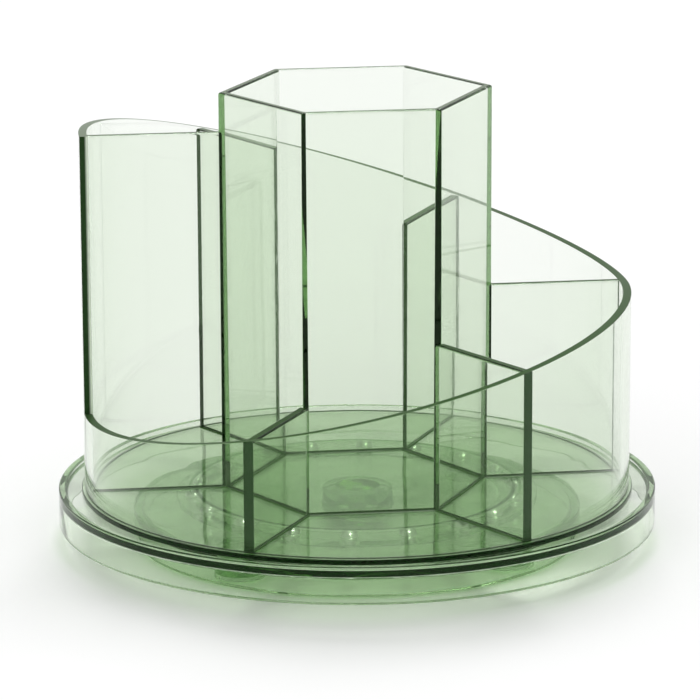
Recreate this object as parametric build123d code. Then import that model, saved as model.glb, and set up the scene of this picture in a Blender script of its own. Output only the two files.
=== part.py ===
from build123d import *
import math
import os

# Rotating pen holder of clear acrylic: a hexagonal cup, six dividers and a wall with a climbing rim
# stand on a floor disc, which lies in a turntable tray on a ball bearing and a round foot.
# Millimetres, +Z up. The origin is on the spin axis, on the surface that the pads stand on.
# Angles run counter-clockwise from +X. Dividers and cup corners lie at 0, 60, ... 300 degrees.

# Cup
cup_corner_radius = 36.3
cup_wall = 2.5
cup_height = 107.0

# Outer wall, with rim heights measured from the floor that it stands on
wall_radius = 73.0
wall_thickness = 2.2
rim_low = 21.5
rim_middle = 53.0
rim_high = 96.5

# Dividers
divider_thickness = 2.8

# Floor disc
floor_thickness = 1.4
floor_flange = 0.8
floor_edge_round = 0.5

# Turntable tray
tray_ledge = 4.2
tray_plate = 1.6
rim_height = 1.3
skirt_wall = 2.0
skirt_ground_gap = 4.3
tray_edge_round = 0.5

# Foot
foot_setback = 20.0
foot_wall = 2.5
foot_plate = 2.0
foot_height = 6.4
foot_edge_round = 0.5

# Pads under the foot
pad_count = 4
pad_radius = 5.0
pad_thickness = 1.3
pad_proud = 0.5
pad_boss_wall = 1.5
pad_boss_gap = 2.0
pad_clearance = 0.1

# Ball bearing
ball_diameter = 5.0
ball_count = 18
ball_ring_inset = 16.0
groove_depth = 0.4
groove_clearance = 0.2
ball_clearance = 0.1
cage_width = 9.0
cage_thickness = 1.6
pocket_clearance = 0.15

# Pivot
post_radius = 5.5
post_clearance = 0.1
hub_wall = 3.8
hub_top_clearance = 0.3
washer_thickness = 0.8
washer_overhang = 2.4
washer_clearance = 0.2
screw_shank_radius = 1.45
screw_engagement = 6.0
screw_head_radius = 2.8
screw_head_height = 1.4
screw_ground_gap = 1.0
screw_drive_radius = 1.2
screw_drive_depth = 0.8
thread_clearance = 0.05
washer_hole_clearance = 0.15
pilot_extra = 0.5

# Room that a cutting tool takes beyond the piece it cuts, in millimetres and in degrees
cut_margin = 5.0
step_overrun = 10.0

# Radii that follow from the sizes above
floor_radius = wall_radius + floor_flange
tray_inner_radius = floor_radius + tray_ledge
tray_radius = tray_inner_radius + skirt_wall
foot_radius = tray_radius - foot_setback
ball_radius = ball_diameter / 2
ball_ring_radius = foot_radius - ball_ring_inset
hub_bore_radius = post_radius + post_clearance
hub_radius = hub_bore_radius + hub_wall
washer_radius = hub_bore_radius + washer_overhang
wall_inner_radius = wall_radius - wall_thickness

# Heights, from the ground up
foot_bottom = pad_proud
foot_top = foot_bottom + foot_height
ball_centre = foot_top - groove_depth + ball_clearance + ball_radius
plate_bottom = ball_centre + ball_radius + ball_clearance - groove_depth
plate_top = plate_bottom + tray_plate
tray_top = plate_top + rim_height
floor_top = plate_top + floor_thickness
head_top = screw_ground_gap + screw_head_height
post_bottom = head_top + washer_thickness
hub_bottom = post_bottom + washer_clearance
hub_top = plate_bottom - hub_top_clearance

SIDES = 6
DRIVE_SIDES = 6
FILLET_SHARE = 2.2
EDGE_MATCH = 0.001
PLACES = ["right", "back_right", "back_left", "left", "front_left", "front_right"]
PANEL_PLACES = ["back_right", "back", "back_left", "front_left", "front", "front_right"]


def disc(radius, bottom, top, centre=(0, 0)):
    """A round solid between two heights."""
    place = Pos(centre[0], centre[1], (bottom + top) / 2)
    return place * Cylinder(radius, top - bottom)


def ring(outer, inner, bottom, top):
    """A round solid with a round hole through it."""
    return disc(outer, bottom, top) - disc(inner, bottom - cut_margin, top + cut_margin)


def rounded(solid, radius, *circles):
    """Round off the circular edges that lie at the given radii and heights."""
    edges = []
    for edge in solid.edges().filter_by(GeomType.CIRCLE):
        place = Vector(edge.radius, edge.arc_center.Z)
        if any((place - Vector(*circle)).length < EDGE_MATCH for circle in circles):
            edges.append(edge)
    return fillet(edges, radius)


def on_ring(radius, count, start=0.0):
    """Points evenly spaced round the spin axis."""
    angles = [math.radians(start + 360.0 * k / count) for k in range(count)]
    return [(radius * math.cos(a), radius * math.sin(a)) for a in angles]


def rim_at(angle):
    """Height of the rim above the floor. It climbs in two even swings from its low end at the left."""
    climb = math.radians((angle - 180.0) % 360.0)
    if climb < math.pi:
        return rim_low + (rim_middle - rim_low) * (1 - math.cos(climb)) / 2
    return rim_middle + (rim_high - rim_middle) * (1 + math.cos(climb)) / 2


def cup_outline(corner_radius):
    return [Vector(x, y) for x, y in on_ring(corner_radius, SIDES)]


def cup_panel(side):
    """One flat side of the cup, mitred at both edges."""
    inner_corner = cup_corner_radius - cup_wall / math.cos(math.pi / SIDES)
    outer = cup_outline(cup_corner_radius)
    inner = cup_outline(inner_corner)
    after = (side + 1) % SIDES
    section = Polyline(outer[side], outer[after], inner[after], inner[side], close=True)
    return extrude(Pos(0, 0, floor_top) * make_face(section), cup_height)


def divider_height(place):
    """The rim's height at the divider's lower side, so that the divider never stands proud."""
    half = math.degrees(math.asin(divider_thickness / 2 / wall_inner_radius))
    return rim_at(360.0 * place / SIDES - half)


def divider(place):
    """A radial slab from a corner of the cup, which it is notched over, to the inside of the wall."""
    height = divider_height(place)
    slab = Box(wall_radius, divider_thickness, height, align=(Align.MIN, Align.CENTER, Align.MIN))
    slab = Pos(0, 0, floor_top) * Rot(0, 0, 360.0 * place / SIDES) * slab
    slab = slab & disc(wall_inner_radius, floor_top, floor_top + height)
    cup = make_face(Polyline(*cup_outline(cup_corner_radius), close=True))
    return slab - extrude(Pos(0, 0, floor_top) * cup, height + cut_margin)


def rim_edge(radius, right, left, start, end):
    """An arc over the wall's circle that runs evenly between two heights, right and left."""
    along = Vector(radius, 0, (right - left) / 2)
    middle = floor_top + (right + left) / 2
    plane = Plane(origin=(0, 0, middle), x_dir=along, z_dir=along.cross(Vector(0, 1, 0)))
    return Edge.make_ellipse(along.length, radius, plane, start, end)


def rim_cut(right, left, start, end):
    """What lies above one half of the rim, which is level across the wall's thickness."""
    inside = rim_edge(wall_inner_radius - cut_margin, right, left, start, end)
    outside = rim_edge(wall_radius + cut_margin, right, left, start, end)
    slope = Face.make_surface_from_curves(inside, outside)
    return Solid.extrude(slope, Vector(0, 0, rim_low + rim_middle + rim_high))


def spiral_wall():
    """The round wall. Its rim climbs counter-clockwise and steps down at the left divider's front face."""
    tallest = floor_top + max(rim_low, rim_middle, rim_high)
    reach = 2 * (tray_radius + tallest)
    step = divider_thickness / 2
    low_end = Box(reach, step, reach, align=(Align.MAX, Align.MAX, Align.MIN))
    before_step = Pos(0, -step, 0) * Box(reach, reach, reach, align=(Align.CENTER, Align.MAX, Align.MIN))
    wall = ring(wall_radius, wall_inner_radius, floor_top, tallest)
    wall -= rim_cut(rim_middle, rim_low, 180.0, 360.0) - low_end
    wall -= rim_cut(rim_middle, rim_high, 0.0, 180.0 + step_overrun) - before_step
    return wall


def ball_groove(height):
    """The round track that the balls roll in."""
    section = Circle(ball_radius + groove_clearance)
    centre = Plane(origin=(ball_ring_radius, 0, height), x_dir=(1, 0, 0), z_dir=(0, -1, 0))
    return revolve(centre * section, Axis.Z)


def floor_disc():
    """The floor, a little wider than the wall, with a softened edge."""
    floor = disc(floor_radius, plate_top, floor_top)
    limit = min(floor_edge_round, floor_flange / FILLET_SHARE, floor_thickness / FILLET_SHARE)
    return rounded(floor, limit, (floor_radius, floor_top))


def turntable_tray():
    """The turning tray: plate, low rim, skirt, upper ball track and the post that the foot's hub takes."""
    tray = disc(tray_radius, plate_bottom, tray_top)
    tray -= disc(tray_inner_radius, plate_top, tray_top + cut_margin)
    tray += ring(tray_radius, tray_inner_radius, skirt_ground_gap, plate_bottom)
    tray += disc(post_radius, post_bottom, plate_bottom)
    pilot_top = post_bottom + screw_engagement + pilot_extra
    tray -= disc(screw_shank_radius + thread_clearance, post_bottom - cut_margin, pilot_top)
    tray -= ball_groove(ball_centre + ball_clearance - groove_clearance)
    limit = min(tray_edge_round, skirt_wall / FILLET_SHARE, rim_height / FILLET_SHARE)
    edges = [(r, z) for r in (tray_radius, tray_inner_radius) for z in (tray_top, skirt_ground_gap)]
    return rounded(tray, limit, *edges)


def foot_base():
    """The still foot: an upturned dish with the lower ball track, the hub and a boss for each pad."""
    foot = disc(foot_radius, foot_bottom, foot_top)
    foot -= disc(foot_radius - foot_wall, foot_bottom - cut_margin, foot_top - foot_plate)
    foot += disc(hub_radius, hub_bottom, hub_top)
    for centre in pad_centres():
        foot += disc(pad_radius + pad_boss_wall, foot_bottom, foot_top - foot_plate, centre)
    for centre in pad_centres():
        foot -= disc(pad_radius + pad_clearance, foot_bottom - cut_margin, pad_thickness, centre)
    foot -= disc(hub_bore_radius, hub_bottom - cut_margin, hub_top + cut_margin)
    foot -= ball_groove(ball_centre - ball_clearance + groove_clearance)
    limit = min(foot_edge_round, foot_wall / FILLET_SHARE, foot_plate / FILLET_SHARE)
    return rounded(foot, limit, (foot_radius, foot_top), (foot_radius, foot_bottom))


def pad_centres():
    boss_radius = pad_radius + pad_boss_wall
    pad_ring_radius = foot_radius - foot_wall - pad_boss_gap - boss_radius
    return on_ring(pad_ring_radius, pad_count, start=180.0 / pad_count)


def foot_pads():
    return Compound([disc(pad_radius, 0, pad_thickness, centre) for centre in pad_centres()])


def ball_centres():
    return [Pos(x, y, ball_centre) for x, y in on_ring(ball_ring_radius, ball_count)]


def bearing_balls():
    return Compound([place * Sphere(ball_radius) for place in ball_centres()])


def ball_cage():
    """A flat ring with a rounded pocket round the middle of each ball, which holds it up."""
    half = cage_thickness / 2
    outer = ball_ring_radius + cage_width / 2
    inner = ball_ring_radius - cage_width / 2
    cage = ring(outer, inner, ball_centre - half, ball_centre + half)
    pockets = [place * Sphere(ball_radius + pocket_clearance) for place in ball_centres()]
    return cage - pockets


def pivot_washer():
    hole = screw_shank_radius + washer_hole_clearance
    return ring(washer_radius, hole, head_top, post_bottom)


def pivot_screw():
    screw = disc(screw_head_radius, screw_ground_gap, head_top)
    screw += disc(screw_shank_radius, head_top, post_bottom + screw_engagement)
    drive = RegularPolygon(screw_drive_radius, DRIVE_SIDES)
    return screw - extrude(Pos(0, 0, screw_ground_gap) * drive, screw_drive_depth)


nodes = {
    "spiral_wall": spiral_wall(),
    "floor_disc": floor_disc(),
    "turntable_tray": turntable_tray(),
    "ball_cage": ball_cage(),
    "bearing_balls": bearing_balls(),
    "foot_base": foot_base(),
    "foot_pads": foot_pads(),
    "pivot_washer": pivot_washer(),
    "pivot_screw": pivot_screw(),
}
for side, place_name in enumerate(PANEL_PLACES):
    nodes["hex_panel_" + place_name] = cup_panel(side)
for place, place_name in enumerate(PLACES):
    nodes["divider_" + place_name] = divider(place)

os.makedirs("parts", exist_ok=True)
for name, shape in nodes.items():
    export_step(shape, f"parts/{name}.step")
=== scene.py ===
import bmesh
import bpy
import math
from mathutils import Matrix, Vector


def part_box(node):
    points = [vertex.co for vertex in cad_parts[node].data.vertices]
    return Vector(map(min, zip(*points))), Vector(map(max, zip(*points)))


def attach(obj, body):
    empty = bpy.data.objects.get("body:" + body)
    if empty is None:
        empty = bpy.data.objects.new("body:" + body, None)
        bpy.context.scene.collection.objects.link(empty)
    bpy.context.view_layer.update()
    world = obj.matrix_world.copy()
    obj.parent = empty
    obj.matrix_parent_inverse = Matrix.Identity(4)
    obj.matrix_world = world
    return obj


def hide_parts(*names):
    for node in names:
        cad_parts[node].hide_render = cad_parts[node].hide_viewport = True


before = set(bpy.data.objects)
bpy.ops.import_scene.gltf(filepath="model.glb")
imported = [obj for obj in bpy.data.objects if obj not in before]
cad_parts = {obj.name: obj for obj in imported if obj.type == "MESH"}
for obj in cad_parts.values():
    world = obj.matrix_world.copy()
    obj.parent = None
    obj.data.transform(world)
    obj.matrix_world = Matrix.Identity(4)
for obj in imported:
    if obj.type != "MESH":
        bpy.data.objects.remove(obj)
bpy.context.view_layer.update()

# Foot pads
# Four anti-slip pads of milky silicone, stamped from sheet with soft edges.
# Each is stuck into a recess under the foot and stands half a millimetre proud of it.
mm = 0.001
pad_radius = 5.0 * mm
pad_edge_round = 0.25 * mm
pad_count = 4
pad_turn = math.radians(45)
pad_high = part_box("foot_pads")[1]
pad_ring_radius = (pad_high.x - pad_radius) * math.sqrt(2)
pad_ring = {"Count": pad_count, "Ring_Radius": pad_ring_radius, "Height": 0.0, "Turn": pad_turn}
pad_colour = (0.90, 0.94, 0.90, 1)
pad_roughness = (0.25, 0.5)
pad_clearness = 0.4
pad_grain_depth = 0.05 * mm
pad_wear = {"Scale": 900, "Amount": 0.3}
SILICONE_INDEX = 1.41
ALL_LIGHT = 1.0
FAINT_BUMP = 0.1
TURNED_SIDES = 64
SHARP_ANGLE = math.radians(35)
EDGE_STEPS = 3
BIG_FACES_ONLY = 100


def put(tree, kind, inputs=None, **settings):
    """Add a node, with plain values or linked sockets on its inputs."""
    node = tree.nodes.new(kind)
    for name, value in settings.items():
        setattr(node, name, value)
    for name, value in (inputs or {}).items():
        if isinstance(value, bpy.types.NodeSocket):
            tree.links.new(value, node.inputs[name])
        else:
            node.inputs[name].default_value = value
    return node


def ring_section(inner, outer, low, high):
    """The section of a plain ring, or of a disc where the inner radius is 0."""
    return [(inner, high), (outer, high), (outer, low), (inner, low)]


def lathe(profile, sides=TURNED_SIDES):
    """A closed body turned round the Z axis from a loop of (radius, height) points."""
    bm = bmesh.new()
    angles = [2 * math.pi * k / sides for k in range(sides)]
    rows = []
    for radius, height in profile:
        if radius == 0:
            rows.append([bm.verts.new((0, 0, height))] * sides)
        else:
            points = [(radius * math.cos(a), radius * math.sin(a), height) for a in angles]
            rows.append([bm.verts.new(point) for point in points])
    for row, after in zip(rows, rows[1:] + rows[:1]):
        for k in range(sides):
            corners = list(dict.fromkeys([row[k - 1], row[k], after[k], after[k - 1]]))
            if len(corners) > 2:
                bm.faces.new(corners)
    bmesh.ops.recalc_face_normals(bm, faces=bm.faces)
    return bm


def as_piece(name, bm, *materials):
    """A new object at the origin with its place in its mesh."""
    mesh = bpy.data.meshes.new(name)
    bm.to_mesh(mesh)
    bm.free()
    for material in materials:
        mesh.materials.append(material)
    mesh.shade_smooth()
    piece = bpy.data.objects.new(name, mesh)
    bpy.context.scene.collection.objects.link(piece)
    return piece


def round_edges(piece, width):
    """Soften the sharp edges of a piece."""
    bevel = piece.modifiers.new("edge_round", "BEVEL")
    bevel.width = width
    bevel.segments = EDGE_STEPS
    bevel.limit_method = "ANGLE"
    bevel.angle_limit = SHARP_ANGLE


def grow(piece, tree, **inputs):
    """Run a geometry tree on a piece, with its inputs set by name."""
    modifier = piece.modifiers.new(tree.name, "NODES")
    modifier.node_group = tree
    items = [item for item in tree.interface.items_tree if item.in_out == "INPUT"]
    sockets = {item.name: item.identifier for item in items}
    for name, value in inputs.items():
        modifier[sockets[name]] = value


def bake(piece):
    """Turn a piece with its modifiers into a plain mesh."""
    graph = bpy.context.evaluated_depsgraph_get()
    mesh = bpy.data.meshes.new_from_object(piece.evaluated_get(graph))
    piece.modifiers.clear()
    piece.data = mesh


def settle(piece):
    """Bake a piece so that its flat faces shade flat and its rounded edges shade smooth."""
    bake(piece)
    piece.data.shade_smooth()
    piece.data.set_sharp_from_angle(angle=SHARP_ANGLE)
    flat = piece.modifiers.new("flat_faces", "WEIGHTED_NORMAL")
    flat.weight = BIG_FACES_ONLY
    flat.keep_sharp = True
    bake(piece)


def belongs(piece, body, slot, *nodes):
    """Put a piece on the body it rides on and hide the solids it stands for; the slot, what it is made
    of, is not used.
    """
    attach(piece, body)
    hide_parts(*nodes)


def geometry_tree(name, **sizes):
    """A new geometry tree with a named input for each size, and the sockets that bring them in."""
    tree = bpy.data.node_groups.new(name, "GeometryNodeTree")
    for socket, kind in {"Geometry": "Geometry", **sizes, "Finish": "Material"}.items():
        tree.interface.new_socket(socket, in_out="INPUT", socket_type="NodeSocket" + kind)
    tree.interface.new_socket("Geometry", in_out="OUTPUT", socket_type="NodeSocketGeometry")
    return tree, put(tree, "NodeGroupInput").outputs


def spread_round(tree, given, shape):
    """Copies of a shape, spread evenly round the spin axis."""
    circle = {"Vertices": given["Count"], "Radius": given["Ring_Radius"]}
    places = put(tree, "GeometryNodeMeshCircle", circle).outputs[0]
    copies = put(tree, "GeometryNodeInstanceOnPoints", {"Points": places, "Instance": shape}).outputs[0]
    lift = put(tree, "ShaderNodeCombineXYZ", {"Z": given["Height"]}).outputs[0]
    turn = put(tree, "ShaderNodeCombineXYZ", {"Z": given["Turn"]}).outputs[0]
    moved = {"Geometry": copies, "Translation": lift, "Rotation": turn}
    return put(tree, "GeometryNodeTransform", moved).outputs[0]


def hand_over(tree, shape, finish, where=True):
    """End a tree: make its shape real, dress it in its finish and put it out."""
    real = put(tree, "GeometryNodeRealizeInstances", {"Geometry": shape}).outputs[0]
    dress = {"Geometry": real, "Selection": where, "Material": finish}
    dressed = put(tree, "GeometryNodeSetMaterial", dress).outputs[0]
    put(tree, "NodeGroupOutput", {"Geometry": dressed})


RING_SIZES = {"Count": "Int", "Ring_Radius": "Float", "Height": "Float", "Turn": "Float"}


def ring_of_copies():
    """A tree that sets copies of a piece round the spin axis."""
    tree, given = geometry_tree("ring_of_copies", **RING_SIZES)
    hand_over(tree, spread_round(tree, given, given["Geometry"]), given["Finish"])
    return tree


def new_material(name):
    """An empty material, with its node tree and its output."""
    material = bpy.data.materials.new(name)
    material.use_nodes = True
    material.node_tree.nodes.clear()
    return material, material.node_tree, put(material.node_tree, "ShaderNodeOutputMaterial")


WHOLE = (0.0, 1.0)
HAIR_TURN = (0.4, 0.9, 0.3)
HAIR_STRETCH = (1, 14, 1)
HAIR_DETAIL = 3.0
HAIR_BAND = (0.62, 0.80)
DUST_SCALE = 45.0
DUST_DETAIL = 4.0
DUST_BAND = (0.45, 0.75)


def ranged(tree, value, start=WHOLE, end=WHOLE):
    """A value carried over from one range to another."""
    ends = {"From Min": start[0], "From Max": start[1], "To Min": end[0], "To Max": end[1]}
    return put(tree, "ShaderNodeMapRange", {"Value": value, **ends}).outputs[0]


def fine_wear():
    """Fine handling marks and settled dust, as a mask, and their height."""
    tree = bpy.data.node_groups.new("fine_wear", "ShaderNodeTree")
    for way, names in {"INPUT": ("Scale", "Amount"), "OUTPUT": ("Mask", "Height")}.items():
        for name in names:
            tree.interface.new_socket(name, in_out=way, socket_type="NodeSocketFloat")
    given = put(tree, "NodeGroupInput").outputs
    place = put(tree, "ShaderNodeTexCoord").outputs["Object"]
    stretch = {"Vector": place, "Rotation": HAIR_TURN, "Scale": HAIR_STRETCH}
    turned = put(tree, "ShaderNodeMapping", stretch).outputs[0]
    strands = {"Vector": turned, "Scale": given["Scale"], "Detail": HAIR_DETAIL}
    hairs = put(tree, "ShaderNodeTexNoise", strands).outputs[0]
    clouds = {"Vector": place, "Scale": DUST_SCALE, "Detail": DUST_DETAIL}
    dust = put(tree, "ShaderNodeTexNoise", clouds).outputs[0]
    marks = {0: ranged(tree, hairs, HAIR_BAND), 1: ranged(tree, dust, DUST_BAND)}
    both = put(tree, "ShaderNodeMath", marks, operation="MULTIPLY").outputs[0]
    mask = put(tree, "ShaderNodeMath", {0: both, 1: given["Amount"]}, operation="MULTIPLY").outputs[0]
    put(tree, "NodeGroupOutput", {"Mask": mask, "Height": hairs})
    return tree


WEAR = fine_wear()


def wear_marks(tree, values):
    """The fine wear, placed in a material with its own values."""
    return put(tree, "ShaderNodeGroup", values, node_tree=WEAR).outputs


def lets_lamps_through(tree, body, share):
    """The surface as it looks, with an open way for a share of the light from the lamps."""
    open_way = put(tree, "ShaderNodeBsdfTransparent", {"Color": (share, share, share, 1)})
    ray = put(tree, "ShaderNodeLightPath")
    parts = {0: ray.outputs["Is Shadow Ray"], 1: body.outputs[0], 2: open_way.outputs[0]}
    return put(tree, "ShaderNodeMixShader", parts).outputs[0]


def silicone():
    """Milky silicone with a fine matt grain."""
    material, tree, out = new_material("milky_silicone")
    wear = wear_marks(tree, pad_wear)
    grain = {"Height": wear["Height"], "Strength": FAINT_BUMP, "Distance": pad_grain_depth}
    values = {
        "Base Color": pad_colour,
        "Roughness": ranged(tree, wear["Mask"], end=pad_roughness),
        "IOR": SILICONE_INDEX,
        "Transmission Weight": pad_clearness,
        "Normal": put(tree, "ShaderNodeBump", grain).outputs[0],
    }
    skin = put(tree, "ShaderNodeBsdfPrincipled", values)
    tree.links.new(lets_lamps_through(tree, skin, ALL_LIGHT), out.inputs["Surface"])
    return material


SILICONE = silicone()
COPIES = ring_of_copies()
pads = as_piece("silicone_pads", lathe(ring_section(0, pad_radius, 0, pad_high.z)), SILICONE)
round_edges(pads, pad_edge_round)
grow(pads, COPIES, Finish=SILICONE, **pad_ring)
settle(pads)
belongs(pads, "base", "silicone", "foot_pads")

# Foot
# An upturned dish moulded in clear green acrylic: a wall, a top with the lower ball track,
# a hub that takes the tray's post, and a boss with a recess over each pad.
foot_wall = 2.5 * mm
foot_plate = 2.0 * mm
foot_edge_round = 0.4 * mm
glue_line = 0.03 * mm
hub_radius = 9.4 * mm
hub_bore_radius = 5.6 * mm
hub_height = 7.6 * mm
boss_wall = 1.5 * mm
recess_clearance = 0.1 * mm
foot_low, foot_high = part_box("foot_base")
foot_radius = foot_high.x
hub_top = foot_high.z
hub_bottom = hub_top - hub_height
ball_low, ball_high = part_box("bearing_balls")
ball_diameter = ball_high.z - ball_low.z
ball_centre = (ball_high.z + ball_low.z) / 2
ball_ring_radius = ball_high.x - ball_diameter / 2
track_depth = 0.4 * mm
track_clearance = 0.2 * mm
ball_clearance = 0.1 * mm
foot_top = ball_centre - ball_diameter / 2 - ball_clearance + track_depth
TRACK_STEPS = 8
BIG_SIDES = 256
moulded_green = (0.20, 0.55, 0.02, 1)
foot_density = 108.0
foot_ripples = {"scale": 35, "height": 0.35 * mm}
CLEAR_WHITE = (1, 1, 1, 1)
ACRYLIC_INDEX = 1.49
sheen_tint = (0.35, 0.55, 0.30, 1)
RIPPLE_DETAIL = 1.0
handling_wear = {"Scale": 160, "Amount": 0.5}
mark_depth = 0.01 * mm


def track_arc(height, up):
    """The points of a ball track's section, from its outer edge to its inner edge."""
    radius = ball_diameter / 2 + track_clearance
    sink = radius - track_depth
    half = math.acos(sink / radius)
    centre = height - up * sink
    angles = [half * (1 - 2 * k / TRACK_STEPS) for k in range(TRACK_STEPS + 1)]
    points = [(radius * math.sin(a), radius * math.cos(a)) for a in angles]
    return [(ball_ring_radius + out, centre + up * rise) for out, rise in points]


def clear_green(name, colour, density, ripples, lamp_share):
    """Clear pale-green acrylic. The colour comes from the depth of material that light crosses."""
    material, tree, out = new_material(name)
    place = put(tree, "ShaderNodeTexCoord").outputs["Object"]
    swells = {"Vector": place, "Scale": ripples["scale"], "Detail": RIPPLE_DETAIL}
    waves = put(tree, "ShaderNodeTexNoise", swells).outputs[0]
    wavy = put(tree, "ShaderNodeBump", {"Height": waves, "Distance": ripples["height"]}).outputs[0]
    wear = wear_marks(tree, handling_wear)
    marks = {"Height": wear["Mask"], "Distance": mark_depth, "Normal": wavy}
    values = {
        "Base Color": CLEAR_WHITE,
        "Roughness": 0.0,
        "IOR": ACRYLIC_INDEX,
        "Specular Tint": sheen_tint,
        "Transmission Weight": 1.0,
        "Normal": put(tree, "ShaderNodeBump", marks).outputs[0],
    }
    body = put(tree, "ShaderNodeBsdfPrincipled", values)
    inside = put(tree, "ShaderNodeVolumeAbsorption", {"Color": colour, "Density": density})
    tree.links.new(lets_lamps_through(tree, body, lamp_share), out.inputs["Surface"])
    tree.links.new(inside.outputs[0], out.inputs["Volume"])
    return material


def join_with(piece, tool, operation):
    """Add another shape to a piece, or cut it out of it, and finish the piece."""
    joint = piece.modifiers.new(tool.name, "BOOLEAN")
    joint.operation = operation
    joint.solver = "EXACT"
    joint.object = tool
    settle(piece)
    bpy.data.objects.remove(tool)


FOOT_GREEN = clear_green("foot_green", moulded_green, foot_density, foot_ripples, ALL_LIGHT)
foot_profile = [
    (hub_bore_radius, hub_top),
    (hub_radius, hub_top),
    (hub_radius, foot_top),
    *reversed(track_arc(foot_top, -1)),
    (foot_radius, foot_top),
    (foot_radius, foot_low.z),
    (foot_radius - foot_wall, foot_low.z),
    (foot_radius - foot_wall, foot_top - foot_plate),
    (hub_radius, foot_top - foot_plate),
    (hub_radius, hub_bottom),
    (hub_bore_radius, hub_bottom),
]
foot = as_piece("foot_moulding", lathe(foot_profile, BIG_SIDES), FOOT_GREEN)
recess_radius = pad_radius + recess_clearance
recess_top = pad_high.z + glue_line
boss_radius = pad_radius + boss_wall
boss_top = foot_top - foot_plate / 2
boss_profile = [
    (0, boss_top),
    (boss_radius, boss_top),
    (boss_radius, foot_low.z),
    (recess_radius, foot_low.z),
    (recess_radius, recess_top),
    (0, recess_top),
]
bosses = as_piece("foot_bosses", lathe(boss_profile), FOOT_GREEN)
grow(bosses, COPIES, Finish=FOOT_GREEN, **pad_ring)
bake(bosses)
round_edges(foot, foot_edge_round)
join_with(foot, bosses, "UNION")
belongs(foot, "base", "green_foot", "foot_base")

# Ball bearing
# Eighteen polished steel balls roll between the two tracks. A clear moulded ring with a
# rounded pocket for each ball keeps them apart and goes round with them.
ball_count = 18
ball_ring = {"Count": ball_count, "Ring_Radius": ball_ring_radius, "Height": ball_centre, "Turn": 0.0}
ball_roughness = (0.28, 0.36)
steel_colour = (0.62, 0.63, 0.62, 1)
metal_wear = {"Scale": 400, "Amount": 1.0}
metal_grain_depth = 0.01 * mm
cage_width = 9.0 * mm
cage_edge_round = 0.15 * mm
pocket_clearance = 0.15 * mm
cage_low, cage_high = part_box("ball_cage")
cage_density = 24.0
cage_ripples = {"scale": 90, "height": 0.01 * mm}
BALL_SIDES = 48
BALL_ROWS = 24


def ball_mesh(radius):
    bm = bmesh.new()
    bmesh.ops.create_uvsphere(bm, u_segments=BALL_SIDES, v_segments=BALL_ROWS, radius=radius)
    return bm


def steel(name, colour, roughness):
    """Bare metal with fine marks that dull it in places."""
    material, tree, out = new_material(name)
    wear = wear_marks(tree, metal_wear)
    grain = {"Height": wear["Height"], "Strength": FAINT_BUMP, "Distance": metal_grain_depth}
    values = {
        "Base Color": colour,
        "Metallic": 1.0,
        "Roughness": ranged(tree, wear["Mask"], end=roughness),
        "Normal": put(tree, "ShaderNodeBump", grain).outputs[0],
    }
    metal = put(tree, "ShaderNodeBsdfPrincipled", values)
    tree.links.new(metal.outputs[0], out.inputs["Surface"])
    return material


def pocketed_ring():
    """A tree that cuts a round pocket out of a ring for each ball."""
    tree, given = geometry_tree("pocketed_ring", Pocket_Radius="Float", **RING_SIZES)
    ball = {"Segments": BALL_SIDES, "Rings": BALL_ROWS, "Radius": given["Pocket_Radius"]}
    pocket = put(tree, "GeometryNodeMeshUVSphere", ball).outputs[0]
    spread = spread_round(tree, given, pocket)
    pockets = put(tree, "GeometryNodeRealizeInstances", {"Geometry": spread}).outputs[0]
    pair = {"Mesh 1": given["Geometry"], "Mesh 2": pockets}
    cut = put(tree, "GeometryNodeMeshBoolean", pair, operation="DIFFERENCE", solver="EXACT")
    hand_over(tree, cut.outputs[0], given["Finish"])
    return tree


BALL_STEEL = steel("polished_ball_steel", steel_colour, ball_roughness)
balls = as_piece("steel_balls", ball_mesh(ball_diameter / 2), BALL_STEEL)
grow(balls, COPIES, Finish=BALL_STEEL, **ball_ring)
settle(balls)
belongs(balls, "cage", "polished_steel", "bearing_balls")

CAGE_CLEAR = clear_green("cage_clear", moulded_green, cage_density, cage_ripples, ALL_LIGHT)
cage_inner = ball_ring_radius - cage_width / 2
cage_outer = ball_ring_radius + cage_width / 2
cage_profile = ring_section(cage_inner, cage_outer, cage_low.z, cage_high.z)
pocket_radius = ball_diameter / 2 + pocket_clearance
cage = as_piece("cage_ring", lathe(cage_profile, BIG_SIDES), CAGE_CLEAR)
round_edges(cage, cage_edge_round)
grow(cage, pocketed_ring(), Pocket_Radius=pocket_radius, Finish=CAGE_CLEAR, **ball_ring)
settle(cage)
belongs(cage, "cage", "clear_cage", "ball_cage")

# Turntable tray
# One moulding in the same clear green: a plate with a low rim and a deep skirt, the upper ball
# track under it, and a centre post with a pilot hole that runs in the foot's hub.
skirt_wall = 2.0 * mm
skirt_ground_gap = 4.3 * mm
tray_plate = 1.6 * mm
tray_edge_round = 0.45 * mm
post_radius = 5.5 * mm
pilot_radius = 1.5 * mm
pilot_depth = 6.5 * mm
tray_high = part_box("turntable_tray")[1]
tray_radius = tray_high.x
tray_inner = tray_radius - skirt_wall
plate_bottom = ball_centre + ball_diameter / 2 + ball_clearance - track_depth
plate_top = plate_bottom + tray_plate
washer_low, washer_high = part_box("pivot_washer")
post_bottom = washer_high.z
pilot_top = post_bottom + pilot_depth
tray_density = 63.0
tray_ripples = {"scale": 35, "height": 0.80 * mm}
tray_profile = [
    (0, plate_top),
    (tray_inner, plate_top),
    (tray_inner, tray_high.z),
    (tray_radius, tray_high.z),
    (tray_radius, skirt_ground_gap),
    (tray_inner, skirt_ground_gap),
    (tray_inner, plate_bottom),
    *track_arc(plate_bottom, 1),
    (post_radius, plate_bottom),
    (post_radius, post_bottom),
    (pilot_radius, post_bottom),
    (pilot_radius, pilot_top),
    (0, pilot_top),
]
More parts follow.
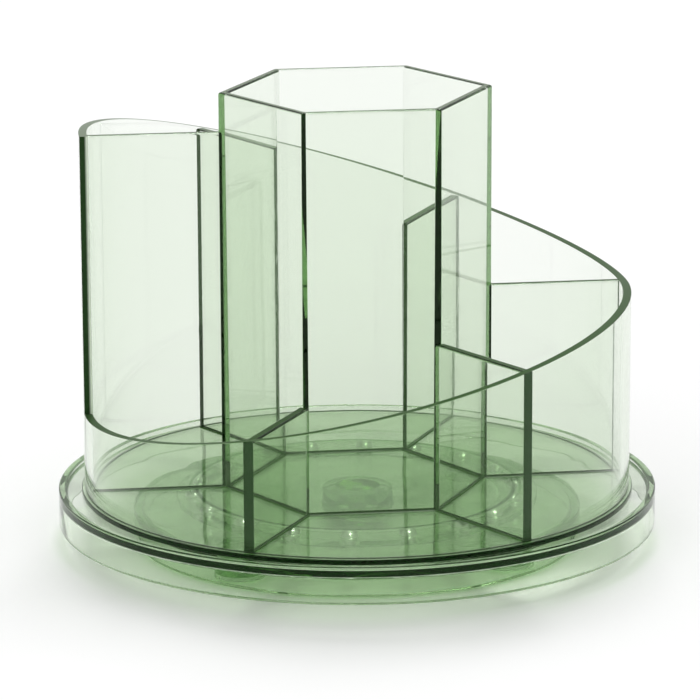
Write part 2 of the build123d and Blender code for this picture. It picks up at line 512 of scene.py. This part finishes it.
TRAY_GREEN = clear_green("tray_green", moulded_green, tray_density, tray_ripples, ALL_LIGHT)
tray = as_piece("tray_moulding", lathe(tray_profile, BIG_SIDES), TRAY_GREEN)
round_edges(tray, tray_edge_round)
settle(tray)
belongs(tray, "turntable", "green_tray", "turntable_tray")

# Pivot washer and screw
# A zinc-plated washer wider than the hub's bore, and a hex-socket screw driven up into the post.
# Together they keep the tray down on the foot.
washer_hole_radius = 1.6 * mm
screw_shank_radius = 1.45 * mm
screw_head_radius = 2.8 * mm
drive_radius = 1.2 * mm
drive_depth = 0.8 * mm
DRIVE_SIDES = 6
metal_edge_round = 0.12 * mm
zinc_colour = (0.74, 0.78, 0.62, 1)
zinc_roughness = (0.25, 0.5)
ZINC = steel("zinc_plate", zinc_colour, zinc_roughness)
washer_profile = ring_section(washer_hole_radius, washer_high.x, washer_low.z, washer_high.z)
washer = as_piece("clamp_washer", lathe(washer_profile), ZINC)
round_edges(washer, metal_edge_round)
settle(washer)
belongs(washer, "turntable", "zinc_steel", "pivot_washer")

screw_low, screw_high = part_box("pivot_screw")
screw_profile = [
    (0, screw_high.z),
    (screw_shank_radius, screw_high.z),
    (screw_shank_radius, washer_low.z),
    (screw_head_radius, washer_low.z),
    (screw_head_radius, screw_low.z),
    (0, screw_low.z),
]
screw = as_piece("clamp_screw", lathe(screw_profile), ZINC)
drive_profile = ring_section(0, drive_radius, screw_low.z - drive_depth, screw_low.z + drive_depth)
drive = as_piece("screw_drive", lathe(drive_profile, DRIVE_SIDES), ZINC)
round_edges(screw, metal_edge_round)
join_with(screw, drive, "DIFFERENCE")
belongs(screw, "turntable", "zinc_steel", "pivot_screw")

# Floor
# A disc of clear green acrylic, a little wider than the wall, bonded into the tray.
# The cup, the dividers and the wall are bonded down on it with a hair of clear cement.
floor_edge_round = 0.3 * mm
floor_low, floor_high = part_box("floor_disc")
floor_green = (0.26, 0.75, 0.0, 1)
floor_density = 129.0
floor_ripples = {"scale": 28, "height": 0.40 * mm}
FLOOR_GREEN = clear_green("floor_green", floor_green, floor_density, floor_ripples, ALL_LIGHT)
floor_profile = ring_section(0, floor_high.x, floor_low.z + glue_line, floor_high.z)
floor = as_piece("floor_plate", lathe(floor_profile, BIG_SIDES), FLOOR_GREEN)
round_edges(floor, floor_edge_round)
settle(floor)
belongs(floor, "turntable", "green_acrylic", "floor_disc")

# Cup sides
# Six flat sides of clear green acrylic, mitred and bonded into a hexagonal cup. Each is a little
# thicker at its foot than at its lip, with a rounded top and a bead of cement along its foot.
cup_wall = 2.5 * mm
foot_swell = 0.6 * mm
lip_draw = 0.2 * mm
top_round = 0.6 * mm
cement_bead = 0.3 * mm
sheet_edge_round = 0.12 * mm
ROUND_STEPS = 4
cup_sides = 6
side_turn = 360 / cup_sides
stand_on = floor_high.z + glue_line
cup_corner_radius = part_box("hex_panel_front_right")[1].x
cup_inner_corner = cup_corner_radius - cup_wall / math.cos(math.pi / cup_sides)
PANEL_PLACES = ["back_right", "back", "back_left", "front_left", "front", "front_right"]
sheet_green = (0.15, 0.46, 0.0, 1)
sheet_density = 57.0
sheet_ripples = {"scale": 25, "height": 0.004 * mm}
sheet_lamp_share = 0.80
# The tops are opaque deep green, painted shade standing in for light caught in the clear edge, and the
# painted shade pales with height.
edge_painted_shade_deep = (0.038, 0.085, 0.026, 1)
edge_painted_shade_pale = (0.165, 0.210, 0.145, 1)
cement_green = (0.042, 0.105, 0.024, 1)
# Near black for the front dividers' ends only: painted shade where they are seen through the front wall.
front_end_shade_green = (0.008, 0.032, 0.006, 1)
edge_painted_shade_fade = (60 * mm, 112 * mm)
edge_streaks = (1.0, 1.35)
edge_roughness = (0.3, 0.6)
edge_shine = 0.05
edge_wear = {"Scale": 500, "Amount": 1.0}


def around(radius, angle):
    return Vector((radius * math.cos(angle), radius * math.sin(angle)))


def drawn_in(outline, gaps):
    """The same outline with each side drawn in by its own gap, or let out where that is negative."""
    lines = []
    for start, end, gap in zip(outline, outline[1:] + outline[:1], gaps):
        along = (end - start).normalized()
        lines.append((start + along.orthogonal() * gap, along))
    corners = []
    for (p, along), (q, after) in zip(lines[-1:] + lines[:-1], lines):
        corners.append(p + along * ((q - p).cross(after) / along.cross(after)))
    return corners


def cut_edge(name, deep, pale, axis, paling):
    """An opaque edge of the sheet, deep green paling along one axis: painted shade and light for the
    tops, front ends and step, a plain dark joint for the cement.
    """
    material, tree, out = new_material(name)
    wear = wear_marks(tree, edge_wear)
    place = put(tree, "ShaderNodeTexCoord").outputs["Object"]
    along = put(tree, "ShaderNodeSeparateXYZ", {"Vector": place}).outputs[axis]
    mix = {"Factor": ranged(tree, along, paling), "A": deep, "B": pale}
    shade = put(tree, "ShaderNodeMix", mix, data_type="RGBA").outputs["Result"]
    streaks = ranged(tree, wear["Height"], end=edge_streaks)
    tint = put(tree, "ShaderNodeVectorMath", {0: shade, "Scale": streaks}, operation="SCALE")
    values = {
        "Base Color": tint.outputs["Vector"],
        "Roughness": ranged(tree, wear["Mask"], end=edge_roughness),
        "IOR": ACRYLIC_INDEX,
        "Specular IOR Level": edge_shine,
    }
    skin = put(tree, "ShaderNodeBsdfPrincipled", values)
    tree.links.new(skin.outputs[0], out.inputs["Surface"])
    return material


SHEET_FINISHES = [
    clear_green("sheet_green", sheet_green, sheet_density, sheet_ripples, sheet_lamp_share),
    cut_edge("top_edge_painted_shade", edge_painted_shade_deep, edge_painted_shade_pale, "Z", edge_painted_shade_fade),
    cut_edge("cemented_edge", cement_green, cement_green, "Z", edge_painted_shade_fade),
    cut_edge("bonded_end", front_end_shade_green, front_end_shade_green, "Z", edge_painted_shade_fade),
]
FACE, EDGE, SEAM, PAINTED_END = range(len(SHEET_FINISHES))


def open_flank(swell=0.0, draw=0.0):
    """A free face of a slab, which may be thicker at its foot and thinner at its lip."""
    return {"finish": FACE, "free": 1, "swell": swell, "draw": draw}


def joined_flank(finish):
    """A face of a slab that is bonded to another piece."""
    return {"finish": finish, "free": 0, "swell": 0.0, "draw": 0.0}


def slab(outline, flanks, bottom, top):
    """A flat piece that stands on one edge, with cement beads at its foot and a rounded top."""
    arc = [math.pi / 2 * k / ROUND_STEPS for k in range(ROUND_STEPS + 1)]
    levels = [(bottom, 0.0, -cement_bead), (bottom + cement_bead, 0.0, 0.0)]
    levels += [(top - top_round * (1 - math.sin(a)), 1.0, top_round * (1 - math.cos(a))) for a in arc]
    bm = bmesh.new()
    rows = []
    for height, climb, inset in levels:
        gaps = [f["draw"] * climb - f["swell"] * (1 - climb) + f["free"] * inset for f in flanks]
        rows.append([bm.verts.new((p.x, p.y, height)) for p in drawn_in(outline, gaps)])
    for step, (row, above) in enumerate(zip(rows, rows[1:])):
        for k, flank in enumerate(flanks):
            after = (k + 1) % len(flanks)
            beaded = step == 0 and flank["free"]
            face = bm.faces.new([row[k], row[after], above[after], above[k]])
            face.material_index = SEAM if beaded else flank["finish"]
    bm.faces.new(rows[0]).material_index = SEAM
    # The top takes the edge finish with its painted shade.
    bm.faces.new(rows[-1]).material_index = EDGE
    bmesh.ops.recalc_face_normals(bm, faces=bm.faces)
    return bm


def stand_up(name, outline, flanks, node):
    """Stand a slab on the floor, as high as its solid, and finish it."""
    piece = as_piece(name, slab(outline, flanks, stand_on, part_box(node)[1].z), *SHEET_FINISHES)
    round_edges(piece, sheet_edge_round)
    settle(piece)
    belongs(piece, "turntable", "green_acrylic", node)


bonded_face = joined_flank(FACE)
panel_flanks = [open_flank(), bonded_face, open_flank(foot_swell, lip_draw), bonded_face]
for side, place in enumerate(PANEL_PLACES):
    start = math.radians(side_turn * side)
    end = math.radians(side_turn * (side + 1))
    outer = [around(cup_corner_radius, start), around(cup_corner_radius, end)]
    inner = [around(cup_inner_corner, end), around(cup_inner_corner, start)]
    outline = drawn_in(outer + inner, [glue_line / 2] * len(panel_flanks))
    stand_up("cup_side_" + place, outline, panel_flanks, "hex_panel_" + place)

# Dividers
# Six flat dividers of the same sheet, each notched over a corner of the cup and bonded to it,
# to the floor and to the inside of the wall. Their tops follow the climb of the wall's rim.
divider_thickness = 2.8 * mm
wall_thickness = 2.2 * mm
wall_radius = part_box("spiral_wall")[1].x
wall_inner = wall_radius - wall_thickness
END_STEPS = 2
DIVIDER_PLACES = ["right", "back_right", "back_left", "left", "front_left", "front_right"]


def divider_outline():
    """Seen from above and lying along X: a notch at the cup's corner, and an end that fits the wall."""
    half = divider_thickness / 2
    notch = cup_corner_radius - half * math.tan(math.pi / cup_sides)
    spread = math.asin(half / wall_inner)
    end = [around(wall_inner, spread * (2 * k / END_STEPS - 1)) for k in range(END_STEPS + 1)]
    outline = [Vector((notch, half)), Vector((cup_corner_radius, 0)), Vector((notch, -half)), *end]
    return drawn_in(outline, [glue_line] * len(outline))


flat_outline = divider_outline()
for count, place in enumerate(DIVIDER_PLACES):
    turn = Matrix.Rotation(math.radians(side_turn * count), 2)
    outline = [turn @ point for point in flat_outline]
    # The front dividers' ends take the painted shade finish; the other ends take the plain cement green.
    end_flanks = [joined_flank(PAINTED_END if place.startswith("front") else SEAM)] * END_STEPS
    flanks = [bonded_face, bonded_face, open_flank(), *end_flanks, open_flank()]
    stand_up("cut_divider_" + place, outline, flanks, "divider_" + place)

# Outer wall
# One round wall in clear green. Its rim climbs once round in two even swings, from low at the
# left to high above the same place, and drops straight down along the left divider's face.
rim_low = 21.5 * mm
rim_middle = 53.0 * mm
rim_high = 96.5 * mm
WALL_COLUMNS = 288
wall_density = 39.6
# The wall's step face is opaque: painted shade over its outer part, paling to a painted highlight toward
# its inner side.
step_painted_shade = (0.016, 0.042, 0.012, 1)
step_painted_light = (0.80, 0.90, 0.74, 1)
step_painted_shade_share = 0.60
step_painted_fade = (step_painted_shade_share * wall_thickness - wall_radius, -wall_inner)
WALL_GREEN = clear_green("wall_green", sheet_green, wall_density, sheet_ripples, sheet_lamp_share)
STEP_PAINTED_FACE = cut_edge("step_painted_light_and_shade", step_painted_shade, step_painted_light, "X", step_painted_fade)
WALL_FINISHES = [WALL_GREEN, *SHEET_FINISHES[EDGE:PAINTED_END], STEP_PAINTED_FACE]
WALL_SECTION = [(0, 0), (0, 1), (1, 1), (1, 0)]


def wall_strip():
    """The wall's faces without their sizes.

    Each corner says how far round, how far out and how high it is.
    """
    bm = bmesh.new()
    turn, out, top = (bm.verts.layers.float.new(name) for name in ("turn", "out", "top"))

    def corner(column, outer, upper):
        vert = bm.verts.new((column, outer, upper))
        vert[turn] = column / WALL_COLUMNS
        vert[out] = outer
        vert[top] = upper
        return vert

    columns = [[corner(k, *spot) for spot in WALL_SECTION] for k in range(WALL_COLUMNS)]
    first = columns[0]
    last = [first[0], corner(WALL_COLUMNS, 0, 1), corner(WALL_COLUMNS, 1, 1), first[3]]
    for before, after in zip(columns, columns[1:]):
        for k, finish in enumerate([SEAM, FACE, EDGE, FACE]):
            bm.faces.new([before[k - 1], before[k], after[k], after[k - 1]]).material_index = finish
    before = columns[-1]
    bm.faces.new([before[0], before[1], last[1], first[1], first[0]])
    bm.faces.new([before[1], before[2], last[2], last[1]]).material_index = EDGE
    bm.faces.new([before[2], before[3], first[3], first[2], last[2]])
    bm.faces.new([before[3], before[0], first[0], first[3]]).material_index = SEAM
    bm.faces.new([last[1], last[2], first[2], first[1]]).material_index = PAINTED_END
    return as_piece("climbing_wall", bm, *WALL_FINISHES)


def climbing_rim():
    """A tree that gives the wall's corners their places, with the rim's two swings."""
    names = ("Radius", "Thickness", "Stand", "Low", "Middle", "High", "Step")
    tree, given = geometry_tree("climbing_rim", **dict.fromkeys(names, "Float"))

    def field(name):
        return put(tree, "GeometryNodeInputNamedAttribute", {"Name": name}, data_type="FLOAT").outputs[0]

    def sum_of(kind, *values):
        return put(tree, "ShaderNodeMath", dict(enumerate(values)), operation=kind).outputs[0]

    climb = sum_of("MULTIPLY_ADD", field("turn"), 2 * math.pi, given["Step"])
    swing = sum_of("COSINE", climb)
    lower = ranged(tree, swing, (1.0, -1.0), (given["Low"], given["Middle"]))
    upper = ranged(tree, swing, (-1.0, 1.0), (given["Middle"], given["High"]))
    late = sum_of("GREATER_THAN", climb, math.pi)
    halves = {"Factor": late, "A": lower, "B": upper}
    rim = put(tree, "ShaderNodeMix", halves, data_type="FLOAT").outputs[0]
    height = sum_of("MULTIPLY_ADD", field("top"), rim, given["Stand"])
    inner = sum_of("SUBTRACT", given["Radius"], given["Thickness"])
    radius = sum_of("MULTIPLY_ADD", field("out"), given["Thickness"], inner)
    angle = sum_of("ADD", climb, math.pi)
    along = sum_of("MULTIPLY", radius, sum_of("COSINE", angle))
    across = sum_of("MULTIPLY", radius, sum_of("SINE", angle))
    place = put(tree, "ShaderNodeCombineXYZ", {"X": along, "Y": across, "Z": height}).outputs[0]
    spots = {"Geometry": given["Geometry"], "Position": place}
    moved = put(tree, "GeometryNodeSetPosition", spots).outputs[0]
    clear = sum_of("LESS_THAN", put(tree, "GeometryNodeInputMaterialIndex").outputs[0], EDGE)
    hand_over(tree, moved, given["Finish"], clear)
    return tree


wall = wall_strip()
wall_sizes = {
    "Radius": wall_radius,
    "Thickness": wall_thickness,
    "Stand": stand_on,
    "Low": rim_low - glue_line,
    "Middle": rim_middle - glue_line,
    "High": rim_high - glue_line,
    "Step": math.asin(divider_thickness / 2 / wall_radius),
}
grow(wall, climbing_rim(), Finish=WALL_GREEN, **wall_sizes)
bake(wall)
bm = bmesh.new()
bm.from_mesh(wall.data)
bmesh.ops.recalc_face_normals(bm, faces=bm.faces)
bm.to_mesh(wall.data)
bm.free()
round_edges(wall, sheet_edge_round)
settle(wall)
belongs(wall, "turntable", "green_acrylic", "spiral_wall")

# Studio
# A plain white floor that keeps the object's soft shadow, and a white surround. A wide lamp behind
# gives most of the light, a weak one fills the front, and a small one puts glints on the balls.
studio_white = (1, 1, 1, 1)
surround_level = 0.64
ground_white = (0.97, 0.97, 0.97, 1)
ground_size = 8.0
object_middle = (0, 0, 0.05)
bearing_middle = (0, 0, 0.01)
LAMPS = {
    "key_lamp": {"place": (1.47, 6.37, 10.06), "aim": object_middle, "size": 4.2, "power": 660},
    "fill_lamp": {"place": (-1.9, -2.2, 2.0), "aim": object_middle, "size": 1.9, "power": 12},
    "glint_lamp": {"place": (0.3, -0.5, 1.6), "aim": bearing_middle, "size": 0.03, "power": 25},
}
CLEAR_BOUNCES = 80
OPEN_BOUNCES = 40


def studio_floor():
    material, tree, out = new_material("studio_floor")
    paint = put(tree, "ShaderNodeBsdfDiffuse", {"Color": ground_white})
    tree.links.new(paint.outputs[0], out.inputs["Surface"])
    return material


def soft_lamp(name, place, aim, size, power):
    lamp = bpy.data.lights.new(name, "AREA")
    lamp.shape = "SQUARE"
    lamp.size = size
    lamp.energy = power
    holder = bpy.data.objects.new(name, lamp)
    bpy.context.scene.collection.objects.link(holder)
    holder.location = place
    holder.visible_transmission = False
    holder.rotation_euler = (Vector(aim) - Vector(place)).to_track_quat("-Z", "Y").to_euler()
    return holder


bm = bmesh.new()
bmesh.ops.create_grid(bm, x_segments=1, y_segments=1, size=ground_size / 2)
bmesh.ops.translate(bm, verts=bm.verts, vec=(0, 0, -glue_line))
ground = as_piece("studio_ground", bm, studio_floor())

scene = bpy.context.scene
world = bpy.data.worlds.new("studio_surround")
scene.world = world
world.use_nodes = True
world.node_tree.nodes.clear()
glow = {"Color": studio_white, "Strength": surround_level}
surround = put(world.node_tree, "ShaderNodeBackground", glow)
put(world.node_tree, "ShaderNodeOutputWorld", {"Surface": surround.outputs[0]})

lamps = {name: soft_lamp(name, **values) for name, values in LAMPS.items()}
lamps["glint_lamp"].visible_diffuse = False

scene.view_settings.view_transform = "Standard"
scene.cycles.max_bounces = CLEAR_BOUNCES
scene.cycles.glossy_bounces = CLEAR_BOUNCES
scene.cycles.transmission_bounces = CLEAR_BOUNCES
scene.cycles.transparent_max_bounces = OPEN_BOUNCES
scene.cycles.caustics_reflective = False
scene.cycles.blur_glossy = 0.0

# Camera
# A long lens, a little to the left of the front, looking down on the object at a low angle.
view_azimuth = math.radians(-7.43)
view_height = math.radians(14.26)
view_distance = 1.1722
view_target = Vector((0, 0, 0.0501))
view_left = 1.73 * mm
view_up = 0.29 * mm
view_roll = math.radians(-0.22)
lens_mm = 226.0
UPRIGHT = Vector((0, 0, 1))

level = math.cos(view_height)
away = Vector((math.sin(view_azimuth) * level, -math.cos(view_azimuth) * level, math.sin(view_height)))
spot = view_target + away * view_distance
right = (-away).cross(UPRIGHT).normalized()
up = right.cross(-away)
aim = view_target - right * view_left + up * view_up
back = (spot - aim).normalized()
right = UPRIGHT.cross(back).normalized()
up = back.cross(right)
rolled_right = right * math.cos(view_roll) + up * math.sin(view_roll)
rolled_up = up * math.cos(view_roll) - right * math.sin(view_roll)
lens = bpy.data.cameras.new("photo_camera")
lens.lens = lens_mm
camera = bpy.data.objects.new("photo_camera", lens)
scene.collection.objects.link(camera)
facing = Matrix((rolled_right, rolled_up, back)).transposed().to_4x4()
camera.matrix_world = Matrix.Translation(spot) @ facing
scene.camera = camera
